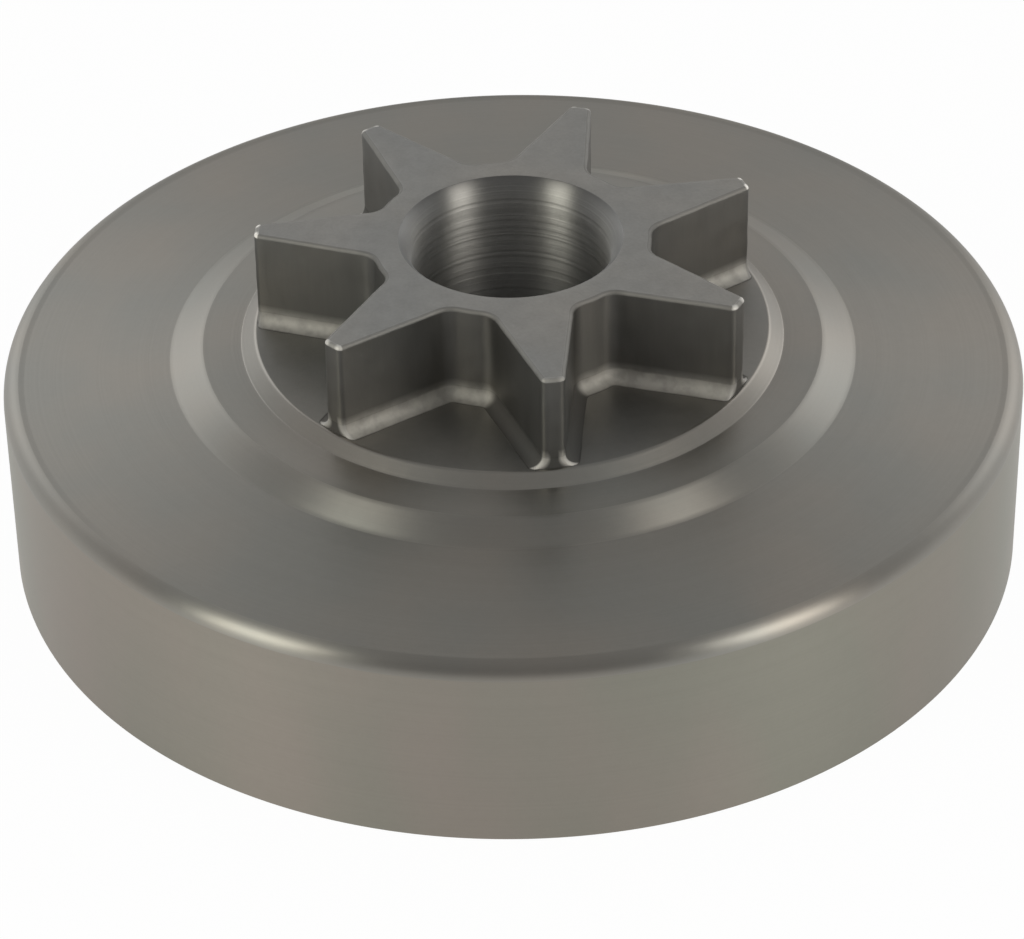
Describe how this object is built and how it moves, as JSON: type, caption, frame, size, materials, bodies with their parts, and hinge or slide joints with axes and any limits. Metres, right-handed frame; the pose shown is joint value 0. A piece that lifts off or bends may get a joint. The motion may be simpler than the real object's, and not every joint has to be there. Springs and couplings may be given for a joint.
{
  "type": "chainsaw clutch drum with spur sprocket",
  "caption": "Cup-shaped steel clutch drum with a star of spur sprocket teeth on its web and a plain bearing bore; clutch shoes drive its inner wall and the star drives a saw chain.",
  "frame": {"origin": "centre of the rim's face, where the drum stands with its open side down", "axes": "+Z along the drum's axis from the open rim towards the star, one tooth pointing along -Y"},
  "size_m": [0.072, 0.072, 0.0242],
  "materials": {
    "drum_steel": "satin, turned on the web and wall, darker and grainier between the teeth"
  },
  "bodies": {
    "root": {"sprocket_drum": "drum_steel"}
  },
  "joints": []
}
